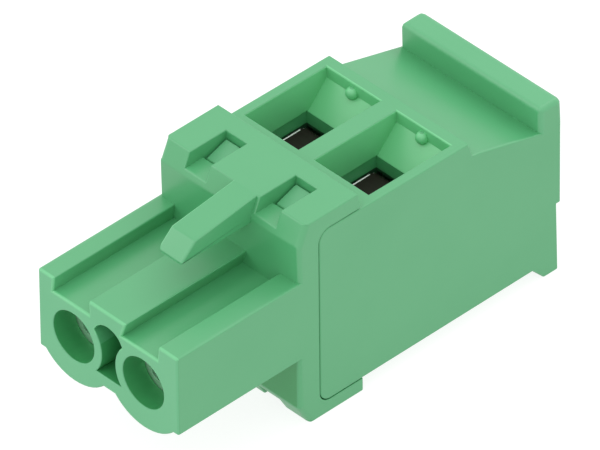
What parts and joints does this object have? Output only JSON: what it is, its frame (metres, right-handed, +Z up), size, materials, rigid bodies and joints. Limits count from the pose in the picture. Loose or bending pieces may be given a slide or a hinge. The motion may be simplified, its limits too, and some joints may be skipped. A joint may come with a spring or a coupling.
{
  "type": "pluggable terminal block",
  "caption": "Pluggable wire terminal block plug with round pin holes, a keyed nose, a latch finger, driver funnels and spring-cage clamps for wires that enter from the rear.",
  "frame": {"origin": "middle of the footprint on the plane that the block rests on", "axes": "+X across the poles, -Y out of the plug nose, +Y out of the wire side, +Z up"},
  "size_m": [0.0102, 0.027, 0.013],
  "materials": {
    "front_plastic": "moulded green polyamide, satin",
    "rear_plastic": "moulded green polyamide, satin",
    "contact_metal": "tin-plated copper alloy",
    "spring_metal": "stainless spring steel, rolled"
  },
  "bodies": {
    "plug": {"front_housing": "front_plastic", "rear_housing": "rear_plastic", "contact_left": "contact_metal", "contact_right": "contact_metal"},
    "clamp_left": {"clamp_spring_left": "spring_metal"},
    "clamp_right": {"clamp_spring_right": "spring_metal"}
  },
  "joints": [
    {"name": "open_clamp_left", "type": "hinge", "parent": "plug", "child": "clamp_left", "pos_m": [-0.00254, -0.00109, 0.00737], "axis": [-1, 0, 0], "range_deg": [0, 20], "stiffness_Nm_per_rad": 0.2, "springref_deg": -9.74, "deforming": ["clamp_spring_left"]},
    {"name": "open_clamp_right", "type": "hinge", "parent": "plug", "child": "clamp_right", "pos_m": [0.00254, -0.00109, 0.00737], "axis": [-1, 0, 0], "range_deg": [0, 20], "stiffness_Nm_per_rad": 0.2, "springref_deg": -9.74, "deforming": ["clamp_spring_right"]}
  ]
}
